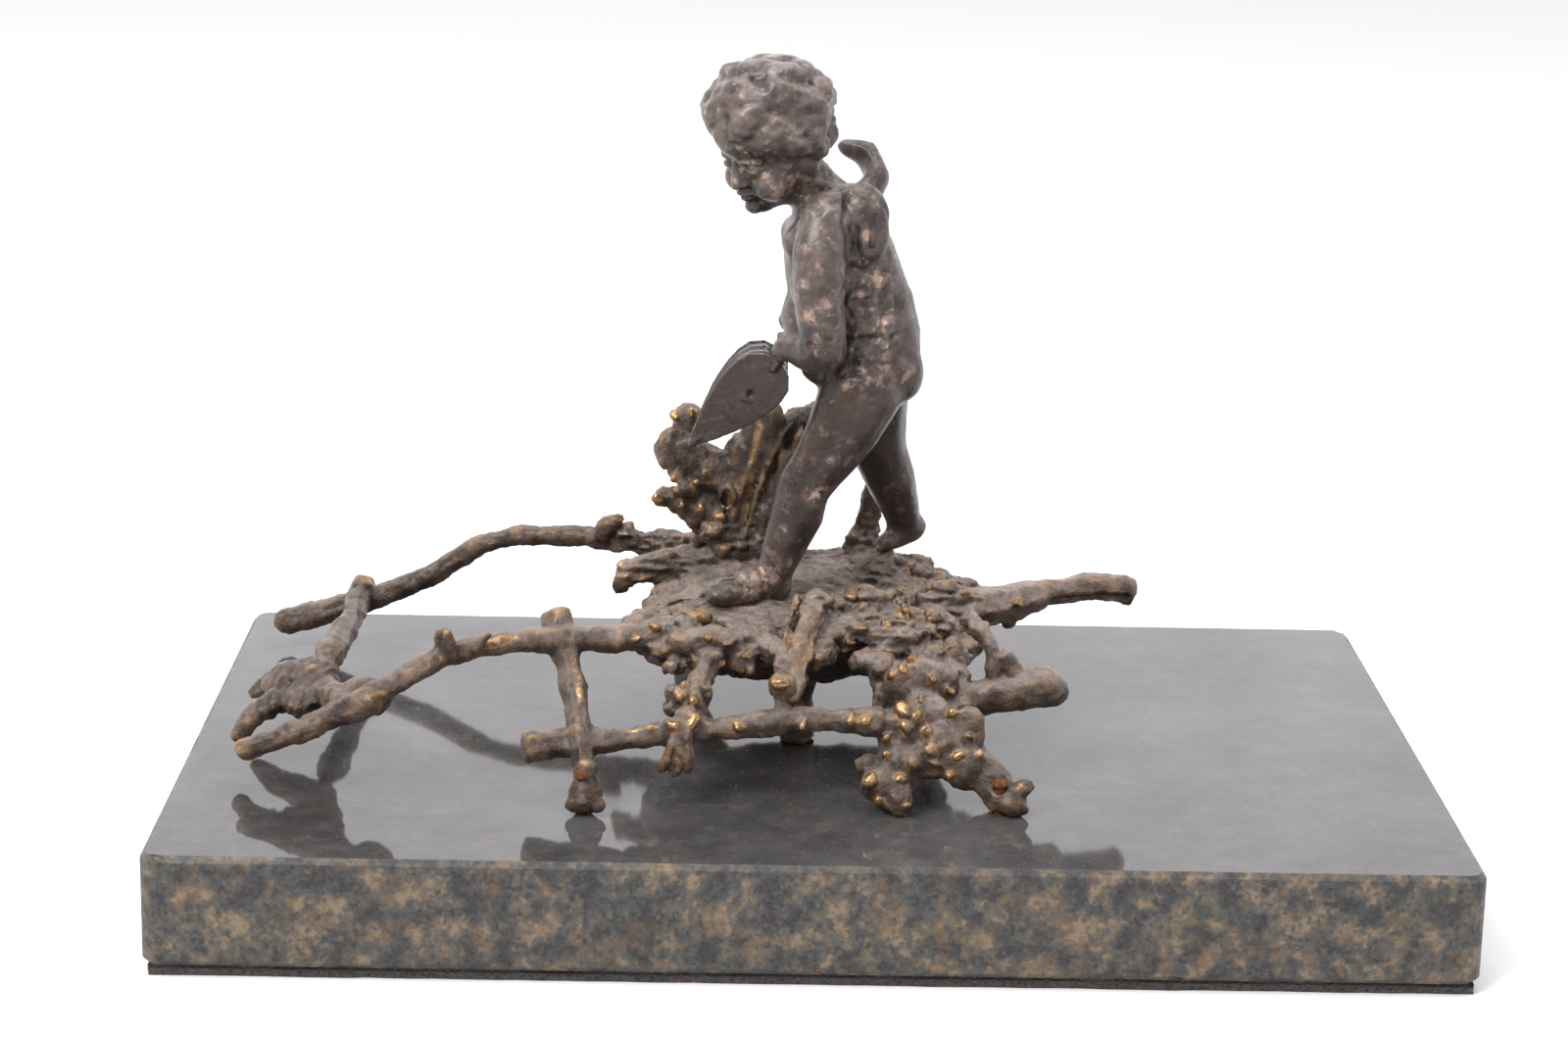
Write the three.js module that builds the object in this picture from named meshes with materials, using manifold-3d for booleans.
// A small bronze putto working a hand bellows, standing on a rustic base of branches, leaves and a
// tree stump, all fastened to a polished granite slab with felt under it.
// Millimetres, +Z up. The origin is the middle of the felt's underside, the slab's long side lies
// along X, and the putto strides towards -X with its left side to -Y.

import * as THREE from "three";
import { mergeVertices } from "three/addons/utils/BufferGeometryUtils.js";
import Module from "manifold-3d";

const wasm = await Module();
wasm.setup();

// Driving dimensions of the slab and the felt
const SLAB_LENGTH = 232;
const SLAB_DEPTH = 150;
const SLAB_THICKNESS = 20;
const SLAB_CORNER_RADIUS = 3.5;
const SLAB_BEVEL = 1;
const FELT_THICKNESS = 2;
const FELT_INSET = 1.2;

// Driving dimensions of the bronzes. The free forms are drawn in hundredths of these.
const BASE_DEPTH = 100; // front feet to back rail
const FIGURE_HEIGHT = 100; // leading sole to the crown
const BELLOWS_LENGTH = 23; // nozzle to the boards' round ends
const BELLOWS_WIDTH = 11.4;
const BOARD_THICKNESS = 1.2;
const BELLOWS_OPENING = 13.6; // between the boards' outer faces at the wide end

// Driving dimensions of the two iron screws
const SHANK_RADIUS = 0.9;
const HEAD_RADIUS = 1.5;
const HEAD_HEIGHT = 1.2;
const SCREW_DEPTH = 9; // how far the shank goes into the stone
const SCREW_CLEARANCE = 0.3;

// The gap kept between bronzes that rest on or hold each other
const SEAT_GAP = 0.3;

const slabTop = FELT_THICKNESS + SLAB_THICKNESS;

// Closed solids from geometry

// A three.js geometry as a solid, with its vertices merged and flat triangles dropped.
function solidOf(geometry) {
  const bare = geometry.index ? geometry.toNonIndexed() : geometry.clone();
  bare.deleteAttribute("normal");
  bare.deleteAttribute("uv");
  const merged = mergeVertices(bare, 1e-4);
  const corners = merged.index.array;
  const kept = [];
  for (let i = 0; i < corners.length; i += 3) {
    const [a, b, c] = corners.slice(i, i + 3);
    if (a !== b && b !== c && a !== c) kept.push(a, b, c);
  }
  return new wasm.Manifold(
    new wasm.Mesh({
      numProp: 3,
      vertProperties: merged.attributes.position.array,
      triVerts: new Uint32Array(kept),
    }),
  );
}

function joined(solids) {
  return solids.reduce((all, next) => all.add(next));
}

function meshOf(name, solid, material) {
  const mesh = solid.getMesh();
  const geometry = new THREE.BufferGeometry();
  geometry.setAttribute("position", new THREE.BufferAttribute(mesh.vertProperties, 3));
  geometry.setIndex(new THREE.BufferAttribute(mesh.triVerts, 1));
  geometry.computeVertexNormals();
  const made = new THREE.Mesh(geometry, material);
  made.name = name;
  return made;
}

// A round-ended limb along a smooth curve. A stop is [x, y, z, radius along side, other radius], and
// the ends stand out by the given share of their radius.
function limb(stops, { sides = 8, caps = 1, tip = 1, side = [0, 1, 0], grow = 0 } = {}) {
  const spine = new THREE.CatmullRomCurve3(
    stops.map(([x, y, z]) => new THREE.Vector3(x, y, z)),
  );
  const girth = new THREE.CatmullRomCurve3(
    stops.map(([, , , across, deep = across], i) => new THREE.Vector3(across, deep, i)),
  );
  const across = new THREE.Vector3(...side).normalize();
  const rod = new THREE.CapsuleGeometry(1, 1, caps, sides, stops.length - 1);
  const place = rod.attributes.position;
  for (let i = 0; i < place.count; i++) {
    const along = THREE.MathUtils.clamp(place.getY(i), -0.5, 0.5);
    const dome = place.getY(i) - along;
    const centre = spine.getPoint(along + 0.5);
    const tangent = spine.getTangent(along + 0.5);
    const radii = girth.getPoint(along + 0.5);
    const u = across.clone().addScaledVector(tangent, -across.dot(tangent)).normalize();
    const v = new THREE.Vector3().crossVectors(u, tangent);
    centre.addScaledVector(u, place.getX(i) * (radii.x + grow));
    centre.addScaledVector(v, place.getZ(i) * (radii.y + grow));
    centre.addScaledVector(tangent, tip * dome * (Math.min(radii.x, radii.y) + grow));
    place.setXYZ(i, centre.x, centre.y, centre.z);
  }
  return solidOf(rod);
}

// An egg-shaped lump with three radii, turned in degrees about X, Y and Z.
function lump([x, y, z], radii, { turn = [0, 0, 0], detail = 1, grow = 0 } = {}) {
  const [rx, ry, rz] = radii.length ? radii : [radii, radii, radii];
  const angles = turn.map((degrees) => THREE.MathUtils.degToRad(degrees));
  const ball = new THREE.IcosahedronGeometry(1, detail);
  ball.scale(rx + grow, ry + grow, rz + grow);
  ball.applyMatrix4(new THREE.Matrix4().makeRotationFromEuler(new THREE.Euler(...angles)));
  ball.translate(x, y, z);
  return solidOf(ball);
}

function block([lowX, lowY, lowZ], [highX, highY, highZ]) {
  const box = new THREE.BoxGeometry(highX - lowX, highY - lowY, highZ - lowZ);
  box.translate((lowX + highX) / 2, (lowY + highY) / 2, (lowZ + highZ) / 2);
  return solidOf(box);
}

// A matrix whose columns are three directions, and whose place is a point.
function frameAt(point, forward, left, up) {
  const turned = new THREE.Matrix4().makeBasis(forward, left, up);
  return turned.setPosition(...point);
}

function placed(solid, matrix) {
  return solid.transform(matrix.toArray());
}

function scaled(solid, share) {
  return solid.scale([share, share, share]);
}

// Slab and felt

function roundedRectangle(length, depth, radius) {
  const [x, y] = [length / 2, depth / 2];
  const outline = new THREE.Shape();
  outline.moveTo(-x + radius, -y);
  outline.lineTo(x - radius, -y);
  outline.absarc(x - radius, -y + radius, radius, -Math.PI / 2, 0);
  outline.absarc(x - radius, y - radius, radius, 0, Math.PI / 2);
  outline.absarc(-x + radius, y - radius, radius, Math.PI / 2, Math.PI);
  outline.absarc(-x + radius, -y + radius, radius, Math.PI, Math.PI * 1.5);
  return outline;
}

function granite() {
  const outline = roundedRectangle(
    SLAB_LENGTH - 2 * SLAB_BEVEL,
    SLAB_DEPTH - 2 * SLAB_BEVEL,
    SLAB_CORNER_RADIUS - SLAB_BEVEL,
  );
  const geometry = new THREE.ExtrudeGeometry(outline, {
    depth: SLAB_THICKNESS - 2 * SLAB_BEVEL,
    bevelThickness: SLAB_BEVEL,
    bevelSize: SLAB_BEVEL,
    bevelSegments: 1,
    curveSegments: 3,
  });
  geometry.translate(0, 0, FELT_THICKNESS + SLAB_BEVEL);
  const holes = screwPlaces.map((place) => screw(place, SCREW_CLEARANCE));
  return holes.reduce((stone, hole) => stone.subtract(hole), solidOf(geometry));
}

function felt() {
  const outline = roundedRectangle(
    SLAB_LENGTH - 2 * FELT_INSET,
    SLAB_DEPTH - 2 * FELT_INSET,
    SLAB_CORNER_RADIUS,
  );
  return solidOf(
    new THREE.ExtrudeGeometry(outline, {
      depth: FELT_THICKNESS - SEAT_GAP,
      bevelEnabled: false,
      curveSegments: 2,
    }),
  );
}

// Screws. Each stands upright through a foot of the base, at [x, y, underside of its head].

const baseShare = BASE_DEPTH / 100;
const screwPlaces = [
  [-41.2 * baseShare, -49.5 * baseShare, slabTop + 7 * baseShare],
  [33.4 * baseShare, -46.5 * baseShare, slabTop + 5.6 * baseShare],
];

function screw([x, y, seat], grow = 0) {
  const [shank, head] = [SHANK_RADIUS + grow, HEAD_RADIUS + grow];
  const foot = slabTop - SCREW_DEPTH - grow;
  const profile = [
    [0, foot],
    [shank, foot + shank],
    [shank, seat - grow],
    [head, seat - grow],
    [head, seat + 0.3 * HEAD_HEIGHT],
    [head * 0.75, seat + 0.8 * HEAD_HEIGHT + grow],
    [0, seat + HEAD_HEIGHT + grow],
  ];
  const turned = new THREE.LatheGeometry(
    profile.map(([r, z]) => new THREE.Vector2(r, z)),
    8,
  );
  turned.rotateX(Math.PI / 2);
  turned.translate(x, y, 0);
  return solidOf(turned);
}

// The putto, in hundredths of its height. Its own origin is under the leading foot.

const figureShare = FIGURE_HEIGHT / 100;
const standsAt = [-11 * baseShare, -10 * baseShare, slabTop + 28.5 * baseShare];

function legs(grow = 0) {
  const leading = [
    [20.2, 4.6, 42, 8],
    [16.2, 3, 33, 6.8],
    [11.6, 2, 25.6, 5.3],
    [8.7, 2, 21.4, 5],
    [8, 2.4, 16.6, 5],
    [5.4, 2.4, 10, 4.1],
    [3.4, 2, 4.4, 3.2],
  ];
  const trailing = [
    [22, 15.4, 41, 7.2],
    [22.4, 17, 31, 6],
    [23.6, 18.8, 24.6, 5.3],
    [26.4, 21, 17.6, 4.7],
    [28.4, 24, 11.6, 3.6],
    [29, 25, 8.8, 3],
  ];
  const leadingFoot = [
    [4.6, 2.2, 2, 2.8],
    [1, 1, 2.8, 2.9],
    [-3, -1.2, 1.8, 2.9, 2.1],
    [-6.4, -3, 1.3, 2.8, 1.5],
  ];
  const trailingFoot = [[30.8, 25.8, 8.2, 2.8], [28, 24, 6.8, 2.4], [25, 22.4, 5.4, 2.6, 1.7]];
  return joined([
    limb(leading, { sides: 10, grow }),
    limb(trailing, { grow }),
    limb(leadingFoot, { caps: 2, grow }),
    limb(trailingFoot, { caps: 2, grow }),
  ]);
}

function trunk() {
  const spine = [
    [20, 10, 41.6, 9.4, 10],
    [20.2, 10, 47, 9.8, 10.6],
    [18, 10, 54.6, 9.4, 10.8],
    [15.2, 10, 62.4, 9.8, 10.8],
    [13.4, 10, 69.6, 9.6, 9.4],
    [12.2, 10, 75, 6.4, 5.8],
  ];
  const neck = [[12, 10, 73.4, 5.4], [8.4, 9.4, 78, 4.9], [5.6, 9, 82, 4.6]];
  return joined([
    limb(spine, { sides: 12 }),
    limb(neck),
    lump([11.6, 9.4, 52.6], [7.6, 8, 7.6]),
    lump([25, 6, 43], [6, 5.6, 6.4]),
    lump([25, 14.6, 43], [6, 5.4, 6.4]),
    lump([7.8, 6, 67.4], [4, 4.4, 3.8]),
    lump([7.6, 14.2, 67.4], [4, 4.4, 3.8]),
    lump([12.2, 8, 43.6], [4.4, 5, 3.6]),
  ]);
}

// The hands close on the bellows' handles, and the bellows hangs from them.
const nearHand = [6, 5, 47.6];
const farHand = [7.4, 17.6, 51];

function hands(grow = 0) {
  const fist = ([x, y, z]) =>
    joined([
      lump([x, y, z], [3, 2.6, 2.8], { grow }),
      lump([x - 2, y - 0.4, z - 0.8], [2.2, 2.3, 1.9], { detail: 0, grow }),
    ]);
  return joined([fist(nearHand), fist(farHand)]);
}

function arms() {
  const near = [[12, 0.6, 73, 4.8], [10.8, -2, 66.6, 5.1], [10.8, -2.8, 57.4, 4.6], [12, -3, 49.4, 4.1]];
  const nearForearm = [[12.2, -2.8, 48.4, 4.1], [9.4, 1, 47.2, 3.5], [...nearHand, 2.6]];
  const far = [[11, 19, 72.4, 4.7], [10.4, 22, 65, 4.8], [11.4, 22.6, 55.6, 4.3]];
  const farForearm = [[11.4, 22.6, 55.6, 4.1], [8.4, 20.6, 52.6, 3.5], [...farHand, 2.6]];
  const lengths = [near, nearForearm, far, farForearm];
  return joined([...lengths.map((stops) => limb(stops, { caps: 2 })), hands()]);
}

// A drooping wing with three feather tips on the near side, a curling one on the far side.
function wings() {
  const feather = (tip, width) =>
    limb([[18, 1.6, 74, 2.6, 1.6], [...tip, width, 1.2]], { sides: 6, side: [1, 0, 0] });
  const farWing = [
    [13.6, 13, 73.4, 3, 2.2],
    [19.6, 19, 73.4, 3.6, 2.4],
    [22, 22.6, 76.6, 3.9, 2.4],
    [19.8, 24.6, 81, 2.9, 2],
    [15.2, 25.4, 82.2, 1.7, 1.4],
  ];
  return joined([
    lump([18.8, 1.6, 73.6], [4.8, 2.3, 5.8], { turn: [-6, -14, 0] }),
    feather([15.6, -0.4, 65.6], 1.9),
    feather([18.9, -0.2, 64.8], 2),
    feather([21.8, 1.4, 68], 2),
    limb([[13.6, 4.6, 75, 2.6], [17, 2.4, 76.4, 2.6]], { sides: 8 }),
    limb(farWing, { sides: 6, side: [0, 0, 1] }),
  ]);
}

// The head in its own frame: X towards the face, Y towards its left ear, Z to the crown.
function head() {
  const pairs = (solid) => [solid, solid.mirror([0, 1, 0])];
  const face = joined([
    lump([1.2, 0, -3], [7.8, 7.6, 9.2], { detail: 2 }),
    lump([6, 0, -9.6], [2.5, 2.8, 2]),
    limb([[8.4, 0, 1, 0.9], [9.6, 0, -3.2, 1.2]], { sides: 6 }),
    lump([8.2, 0, -6.2], [1.4, 2.4, 0.9], { detail: 0 }),
    lump([7.9, 0, -7.7], [1.3, 2, 0.9], { detail: 0 }),
    ...pairs(lump([5, 3.9, -5], [3.6, 3.2, 3.4])),
    ...pairs(lump([7, 3.3, -1.4], [1.6, 2, 1.3], { detail: 0 })),
    ...pairs(lump([-1.2, 8, -3.4], [2, 1.3, 2.6], { detail: 0 })),
  ]);
  return joined([face, ...hair()]);
}

// Big soft locks in rings round the skull, left out where the face shows.
function hair() {
  const skull = [8.6, 8.6, 8];
  const rings = [
    { height: 84, count: 2, size: 4.8 },
    { height: 44, count: 6, size: 5 },
    { height: 8, count: 7, size: 4.8 },
    { height: -26, count: 6, size: 4.2 },
  ];
  const locks = rings.flatMap(({ height, count, size }, row) =>
    Array.from({ length: count }, (_, i) => {
      const turn = ((i + 0.5 * (row % 2)) / count) * 360;
      const fromFace = Math.abs(((turn + 180) % 360) - 180);
      const hidden = height < (fromFace < 60 ? 5 : fromFace < 100 ? -10 : -40);
      const around = THREE.MathUtils.degToRad(turn);
      const up = THREE.MathUtils.degToRad(height);
      const centre = [
        skull[0] * Math.cos(up) * Math.cos(around) - 1.4,
        skull[1] * Math.cos(up) * Math.sin(around),
        skull[2] * Math.sin(up) + 4.2,
      ];
      const turned = { turn: [((i * 47) % 60) - 30, -height, turn] };
      return hidden ? [] : [lump(centre, [size * 0.8, size * 1.1, size * 0.9], turned)];
    }).flat(),
  );
  return [lump([-1.4, 0, 3.4], [10, 9.8, 9.4]), ...locks];
}

const headAt = [1.8, 8, 85.4];
const headTurn = { towardsCamera: 38, nod: 25, lean: -6 };

function headFrame() {
  const angles = new THREE.Euler(
    THREE.MathUtils.degToRad(headTurn.lean),
    THREE.MathUtils.degToRad(headTurn.nod),
    THREE.MathUtils.degToRad(180 + headTurn.towardsCamera),
    "ZYX",
  );
  return new THREE.Matrix4().makeRotationFromEuler(angles).setPosition(...headAt);
}

function putto() {
  const body = joined([legs(), trunk(), arms(), wings(), placed(head(), headFrame())]);
  return scaled(body, figureShare).translate(standsAt);
}

// The bellows in its own frame, from its nozzle: X along it, Y from board to board, Z across them.

const leaning = Math.atan((BELLOWS_OPENING - BOARD_THICKNESS) / 2 / BELLOWS_LENGTH);

// Half of a board's width at a share of its length: straight out from the nozzle, then round.
function boardHalfWidth(share) {
  const roundFrom = 0.76;
  const straight = 0.24 + 0.76 * (share / roundFrom);
  const round = Math.sqrt(Math.max(0, 1 - ((share - roundFrom) / (1 - roundFrom)) ** 2));
  return (BELLOWS_WIDTH / 2) * (share < roundFrom ? straight : round);
}

function boardOutline(size) {
  const shares = [0, 0.5, 0.76, 0.87, 0.96];
  const edge = shares.map((share) => [share * BELLOWS_LENGTH, boardHalfWidth(share) * size]);
  const under = edge.map(([x, z]) => [x, -z]);
  const corners = [...under, [BELLOWS_LENGTH * (0.5 + size / 2), 0], ...edge.reverse()];
  return new THREE.Shape(corners.map(([x, z]) => new THREE.Vector2(x, z)));
}

// A plate with the boards' outline, from one depth to another at the wide end.
function wedge(size, from, to) {
  const plate = new THREE.ExtrudeGeometry(boardOutline(size), { depth: 1, bevelEnabled: false });
  const place = plate.attributes.position;
  const closed = BOARD_THICKNESS / BELLOWS_OPENING;
  for (let i = 0; i < place.count; i++) {
    const spread = closed + (1 - closed) * (Math.max(0, place.getX(i)) / BELLOWS_LENGTH);
    const depth = THREE.MathUtils.lerp(from, to, place.getZ(i));
    place.setXYZ(i, place.getX(i), depth * spread, -place.getY(i));
  }
  return solidOf(plate);
}

// Two boards with a valve hole in the near one, and three pleats of leather between them.
function bellowsBody() {
  const half = BELLOWS_OPENING / 2;
  const folds = 2;
  const inside = half - BOARD_THICKNESS;
  const step = (2 * inside) / folds;
  const parts = [wedge(1, -half, -inside), wedge(1, inside, half), wedge(0.8, -inside - 0.1, inside + 0.1)];
  for (let i = 0; i < folds; i++) {
    const low = -inside + i * step;
    parts.push(wedge(0.95, low + 0.3 * step, low + 0.7 * step));
  }
  const valve = new THREE.CylinderGeometry(1.6, 1.6, 1.6, 10);
  valve.rotateZ(-leaning);
  valve.translate(BELLOWS_LENGTH * 0.62, -half * 0.64, -0.6);
  const nozzle = limb([[-1, 0, 0, 0.9], [3, 0, 0, 1.4]], { sides: 8 });
  return joined([...parts, nozzle]).subtract(solidOf(valve));
}

// How the bellows hangs: its slope in degrees, and its round ends' middle from the hands' middle.
const BELLOWS_SLOPE = 47;
const fromHands = [-2.6, 0.6, -4.6];

function bellows() {
  const hold = ([x, y, z]) => new THREE.Vector3(x, y, z).multiplyScalar(figureShare);
  const [near, far] = [nearHand, farHand].map((p) => hold(p).add(new THREE.Vector3(...standsAt)));
  const ends = near.clone().add(far).divideScalar(2).add(new THREE.Vector3(...fromHands));
  const slope = THREE.MathUtils.degToRad(BELLOWS_SLOPE);
  const axis = new THREE.Vector3(Math.cos(slope), 0, Math.sin(slope));
  const across = new THREE.Vector3(-Math.sin(slope), 0, Math.cos(slope));
  const tip = ends.clone().addScaledVector(axis, -BELLOWS_LENGTH);
  const body = placed(bellowsBody(), frameAt(tip.toArray(), axis, new THREE.Vector3(0, 1, 0), across));
  const handles = [near, far].map((hand, i) => {
    const side = (i - 0.5) * (BELLOWS_OPENING - BOARD_THICKNESS);
    const root = ends.clone().addScaledVector(axis, -2).add(new THREE.Vector3(0, side, 0));
    const middle = root.clone().lerp(hand, 0.6).addScaledVector(axis, 1.2);
    return limb([[...root, 1.3, 0.9], [...middle, 1.2, 0.9], [...hand, 1.1]], { sides: 6 });
  });
  const grip = scaled(hands(SEAT_GAP), figureShare).translate(standsAt);
  return joined([body, ...handles]).subtract(grip);
}

// The base, in hundredths of its depth. Its own origin is on the stone under the slab's middle.

function branches() {
  const leftLog = [[-103.5, -38, 6.8, 1.9], [-97, -38, 9, 2.2], [-89, -38, 12.6, 2.3],
    [-83, -38, 15.4, 2.9], [-78.8, -38, 17.2, 3.2]];
  const leftBranch = [[-80, -37, 17, 2.2], [-67.3, -35, 24.3, 2.4], [-60, -33, 25.9, 2.4],
    [-53.4, -32, 26.4, 2.3], [-45.6, -29, 26.2, 2.6], [-35, -27, 26, 2.7], [-24, -22, 25, 4]];
  const postLeft = [[-47, -24.6, 29.6, 3.3], [-45.6, -28, 24.6, 2.9], [-43.3, -35, 19, 2.7],
    [-41.8, -43, 12.2, 2.3], [-40.6, -47.4, 6, 2.3], [-40, -48.6, 1.8, 2.5]];
  const rail = [[-51.6, -43, 10, 3], [-42.2, -42, 10.9, 2.9], [-33.4, -42, 11.8, 2.3],
    [-22.9, -42, 13.5, 2.6], [-15.9, -41, 13.8, 2], [-9, -41, 14.8, 2.7], [-2, -40, 15.4, 2.3],
    [4, -40, 15.3, 2.1], [12, -40, 14.6, 2.8]];
  const rightStub = [[20, -30, 13.6, 3], [28, -28, 14.8, 2.9], [38.1, -25, 15.9, 3],
    [45, -24, 16.9, 3.5]];
  const rightBranch = [[18, -10, 26.4, 4.6], [31.8, -5, 26.6, 4], [39, -1, 26.6, 4],
    [45, 2, 28, 2.9], [52, 4, 28.4, 2.7], [59.4, 5, 28, 3], [61.6, 5, 27.2, 2.6]];
  const backRail = [[-106.4, 50, 4.8, 3], [-93.7, 50, 8.8, 2.9], [-84.6, 50, 11.6, 2.5],
    [-74.7, 51, 16.3, 2.4], [-66.7, 52, 21.6, 2.2], [-58.7, 52, 23.8, 2.2], [-46, 50, 24.4, 2.3],
    [-34.5, 46, 24.4, 2.6], [-22, 38, 24.6, 4.4]];
  const crossLog = [[-84, -37, 15.6, 2.6], [-89, -26, 14, 3.1], [-92.8, -10, 12.2, 4],
    [-92.4, 6, 11.6, 3.3], [-91.5, 25, 11.4, 2.8], [-91.1, 44, 11, 3], [-90.8, 54, 11.4, 3.2]];
  const twigs = [
    [[-93, -20, 12, 3.2], [-99, -24, 12, 2.6], [-103, -27, 9.2, 2.1], [-105.4, -28.6, 6, 1.7]],
    [[-94, -10, 12, 3.6], [-101, -6, 10, 3], [-106.4, -4, 6.6, 1.6]],
    [[-66.6, -35, 25, 1.7], [-67, -35, 29.4, 1.4]],
    [[36, -24, 16, 2.6], [35.6, -21.6, 20.4, 2.1]],
  ];
  return [leftLog, leftBranch, postLeft, rail, rightStub, rightBranch, backRail, crossLog, ...twigs]
    .map((stops) => limb(stops, { sides: 6, tip: 0.4 }));
}

function mound() {
  const rock = joined([
    lump([-4, 10, 20], [29, 32, 9.2], { detail: 2 }),
    lump([9, 22, 20.4], [20, 19, 8.4]),
    lump([-10, -12, 23], [22, 15, 5.6], { turn: [8, 0, 10] }),
    lump([14, -8, 22], [20, 15, 6.6], { turn: [10, 0, -8] }),
    lump([20, 5, 22.2], [11, 15, 5], { turn: [0, 12, 0] }),
    lump([13.6, 12.4, 28.4], [7.4, 6.4, 4.8], { detail: 0 }),
  ]);
  const hollow = lump([-3, 8, 8], [25, 28, 12]);
  const roots = [
    [[-18, 20, 26, 4.6], [-28, 18, 27.2, 3.6], [-35.6, 16, 26.4, 2.5], [-37, 15.6, 23.6, 1.8]],
    [[-14, -6, 26.4, 6], [-25, -9, 25.4, 4.2], [-34, -10, 22.8, 2]],
    [[18, 14, 26, 5], [26, 16, 24.6, 3.6], [32, 15, 23.6, 2.6]],
    [[-2, -5, 20, 6], [-2, -6, 9, 2.8], [-2, -6, 0, 3.6]],
    [[-18, 36, 20, 5], [-23, 46, 10, 3.2], [-25, 50, 0, 3.4]],
    [[20, 30, 22, 5], [25, 40, 10, 3.2], [27, 44, 0, 3.4]],
  ];
  return [rock.subtract(hollow), ...roots.map((stops) => limb(stops, { sides: 6 }))];
}

// The stump with its bark ridges, its hollow, the knobs on its left and the bough arching behind.
function stump() {
  const trunkStops = [
    [-13, 25, 25, 12, 9],
    [-10.6, 25, 33, 10.2, 8],
    [-6.4, 25, 44, 7.6, 6.8],
    [-2.4, 25, 52, 5.8, 5.4],
    [-0.6, 25, 55, 5, 4.6],
  ];
  const ridges = [-17.4, -11.4, -5.6].map((x, i) =>
    limb(
      [
        [x, 17.4 + i * 0.2, 27, 2.1],
        [x + 2 + i * 0.6, 17.8, 38, 1.7],
        [x + 6.4 + i, 18.8, 50, 1.5],
      ],
      { sides: 5 },
    ),
  );
  const spur = [[-12, 23, 38, 6], [-19, 21, 45, 5], [-23.6, 20, 50, 4]];
  const shelf = [[-14, 22, 34, 6], [-22, 20, 39, 4.4], [-26.4, 19, 41, 2.6]];
  const knobs = [
    [[-23.8, 21.6, 56.2], [3.6, 3, 2.8]],
    [[-26.2, 20, 50.8], [4.6, 4, 4.4]],
    [[-28.6, 18.4, 41.2], [2.2, 2.2, 2.1]],
    [[-23.6, 16.6, 43.4], [2.6, 2, 2.2]],
    [[-25.8, 18, 46], [2.1, 2, 1.9]],
    [[-18.6, 16.6, 34.8], [2.8, 2.2, 2.5]],
  ].map(([centre, radii], i) => lump(centre, radii, { detail: i < 2 ? 1 : 0 }));
  const bough = [[-0.6, 25, 55, 4.4], [6, 26, 55.6, 3], [12.6, 26, 51, 2.6], [13, 26, 43, 2.3],
    [11, 26, 33, 2.8], [10, 26, 29, 4]];
  const hollow = lump([-6.4, 17, 35], [1.8, 3, 8.4], { turn: [4, 14, 0] });
  const wood = joined([
    limb(trunkStops, { sides: 9, side: [1, 0, 0] }),
    limb(spur, { sides: 6 }),
    limb(shelf, { sides: 6 }),
    limb(bough, { sides: 6 }),
    ...ridges,
    ...knobs,
  ]);
  return [wood.subtract(hollow)];
}

// A leaf or berry of the foliage, a lump that leans a little with its number.
function leaf(place, size, number) {
  const turn = [(number * 67) % 90, (number * 41) % 80, (number * 113) % 180];
  return lump(place, [size * 1.35, size * 1.05, size * 0.85], { turn, detail: 0 });
}

// Leaves spread over an oval patch that slopes along Y, in a sunflower pattern.
function leafPatch({ centre, reach, slope, count, size }) {
  const golden = Math.PI * (3 - Math.sqrt(5));
  return Array.from({ length: count }, (_, i) => {
    const out = Math.sqrt((i + 0.5) / count);
    const y = reach[1] * out * Math.sin(i * golden);
    return leaf(
      [centre[0] + reach[0] * out * Math.cos(i * golden), centre[1] + y, centre[2] + y * slope],
      size * (0.85 + 0.3 * Math.sin(i * 2.3)),
      i,
    );
  });
}

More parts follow.
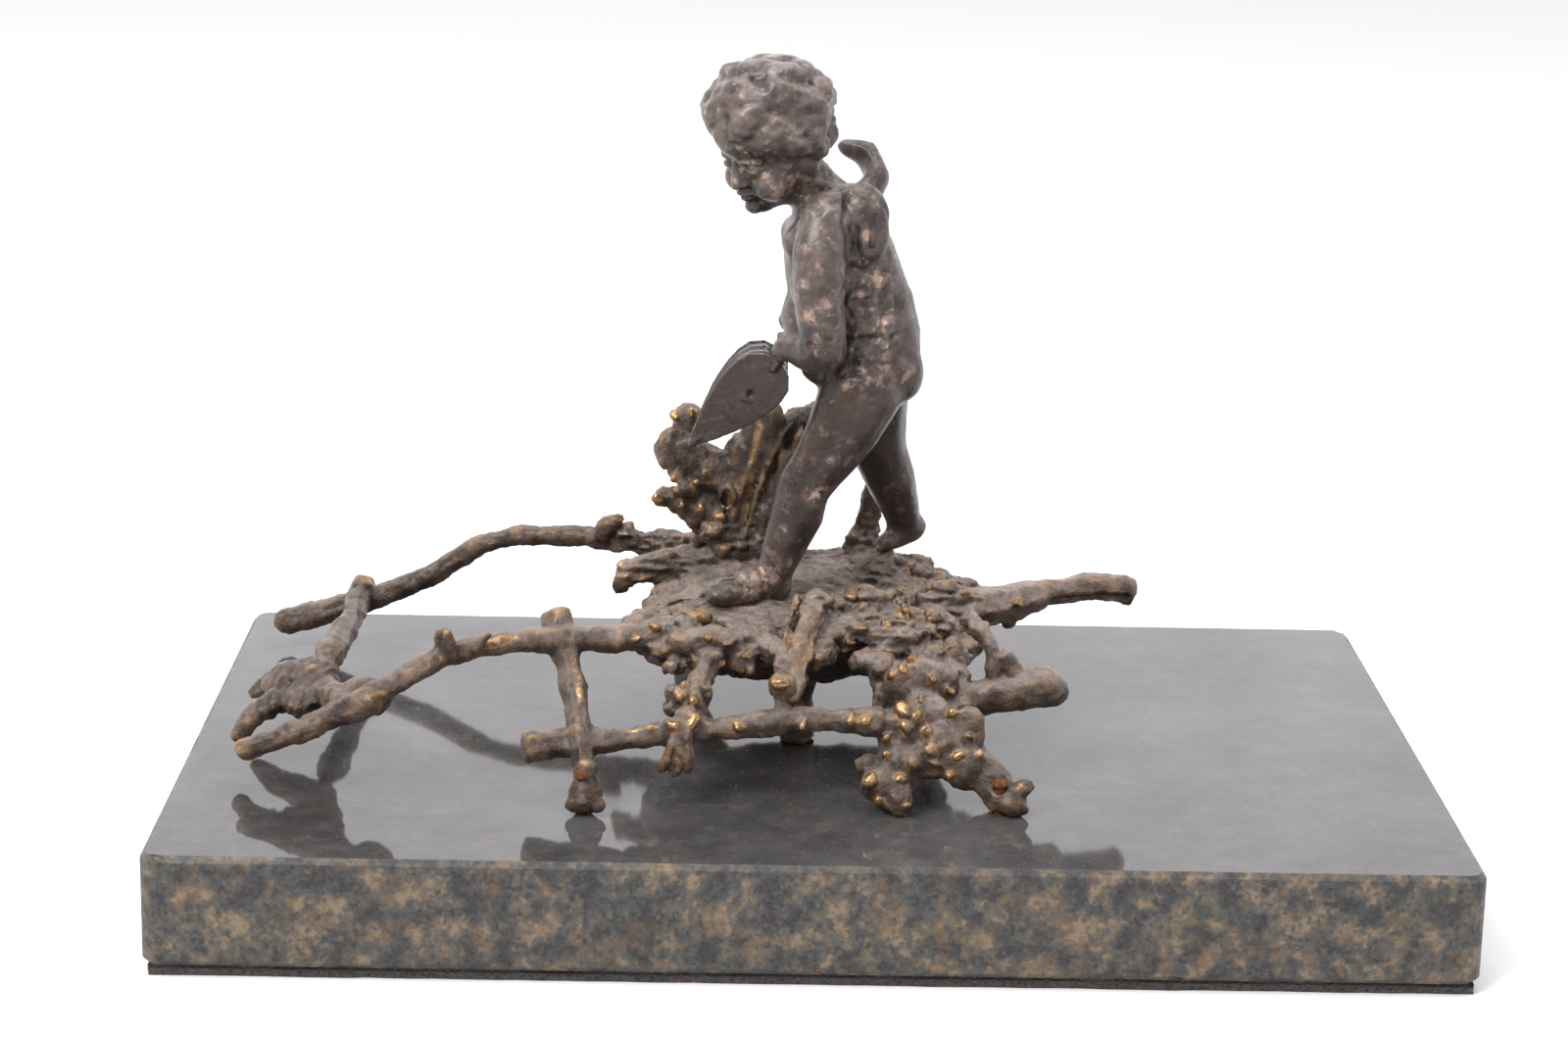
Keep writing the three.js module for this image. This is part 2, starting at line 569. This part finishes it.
function foliage() {
  const link = [[-19, -28, 22.6, 2.8], [-21, -36, 19, 1.9], [-22.8, -42, 14, 2.4]];
  const barkStrip = [[0.8, -19, 31.4, 3, 1.6], [-2.8, -28, 25, 2.8, 1.6], [-5.2, -33.6, 19.6, 2.4, 1.5],
    [-5.7, -37, 17, 1.7, 1.6], [-5.8, -40, 15, 1.7, 1.6]];
  const sheet = lump([20.4, -30, 15.6], [9.8, 16.6, 3.6], { turn: [33, 0, 0] });
  const footLeft = [[15, -40, 9.4, 3.6], [14.6, -45, 5.4, 2.6], [15.2, -48, 1.6, 2.6]];
  const footRight = [[26, -34, 10.4, 4], [31, -41, 6, 3.6], [34, -45.6, 2.8, 3.4], [36.6, -47, 2, 2.6]];
  const hangingLeaf = [[-24.4, -43, 12, 2, 1.2], [-24.6, -45.4, 8.4, 1.8, 1.1], [-25, -46, 6.4, 1, 0.8]];
  const patches = [
    { centre: [-20, -25.6, 24], reach: [11.4, 4], slope: 0.7, count: 9, size: 3.1 },
    { centre: [-4, -28, 23.4], reach: [10, 3.4], slope: 0.7, count: 5, size: 2.7 },
    { centre: [13, -19, 25.2], reach: [11.4, 8], slope: 0.62, count: 10, size: 3.3 },
    { centre: [19.4, -31, 17.4], reach: [8.6, 13], slope: 0.66, count: 10, size: 2.8 },
    { centre: [-22.8, -39, 16.6], reach: [4, 4], slope: 0.6, count: 3, size: 2.4 },
    { centre: [21, 6, 26], reach: [6.6, 11], slope: -0.1, count: 4, size: 3.2 },
    { centre: [-38, 47, 25.4], reach: [3, 1], slope: 0, count: 2, size: 2.2 },
  ];
  return [
    limb(link, { sides: 6 }),
    limb(barkStrip, { sides: 6, side: [1, 0, 0] }),
    sheet,
    limb(footLeft, { sides: 6 }),
    limb(footRight, { sides: 6 }),
    limb(hangingLeaf, { sides: 6, side: [1, 0, 0] }),
    lump([-40.6, -49, 3.6], [3, 3, 3.8]),
    lump([10, -41.6, 7.4], [3, 2.4, 2.2], { detail: 0 }),
    lump([37.4, -46, 5], [2.6, 1.6, 1.5], { turn: [0, -20, 0], detail: 0 }),
    lump([-92.6, -22, 12.8], [5.6, 9, 3.2], { turn: [0, 0, -14] }),
    ...patches.flatMap(leafPatch),
  ];
}

function branchBase() {
  const grown = joined([...branches(), ...mound(), ...stump(), ...foliage()]);
  const onStone = scaled(grown, baseShare).translate([0, 0, slabTop]);
  const reach = SLAB_LENGTH + SLAB_DEPTH;
  const cuts = [
    block([-reach, -reach, -reach], [reach, reach, slabTop + SEAT_GAP]),
    scaled(legs(SEAT_GAP), figureShare).translate(standsAt),
    ...screwPlaces.map((place) => screw(place, SCREW_CLEARANCE)),
  ];
  return cuts.reduce((left, cut) => left.subtract(cut), onStone);
}

// Materials

const darkBronze = new THREE.MeshStandardMaterial({ color: 0x3e3632, roughness: 0.45, metalness: 0.8 });
const goldenBronze = new THREE.MeshStandardMaterial({ color: 0x5a4632, roughness: 0.5, metalness: 0.8 });
const polishedStone = new THREE.MeshStandardMaterial({ color: 0x2c2c2a, roughness: 0.15, metalness: 0 });
const brownFelt = new THREE.MeshStandardMaterial({ color: 0x2a211e, roughness: 1, metalness: 0 });
const rustyIron = new THREE.MeshStandardMaterial({ color: 0x8a4a1c, roughness: 0.9, metalness: 0.3 });

const statuette = new THREE.Group();
statuette.add(
  meshOf("felt_underlay", felt(), brownFelt),
  meshOf("granite_slab", granite(), polishedStone),
  meshOf("branch_base", branchBase(), goldenBronze),
  meshOf("putto", putto(), darkBronze),
  meshOf("bellows", bellows(), darkBronze),
  ...screwPlaces.map((place, i) => meshOf(`screw_${["left", "right"][i]}`, screw(place), rustyIron)),
);

export default statuette;
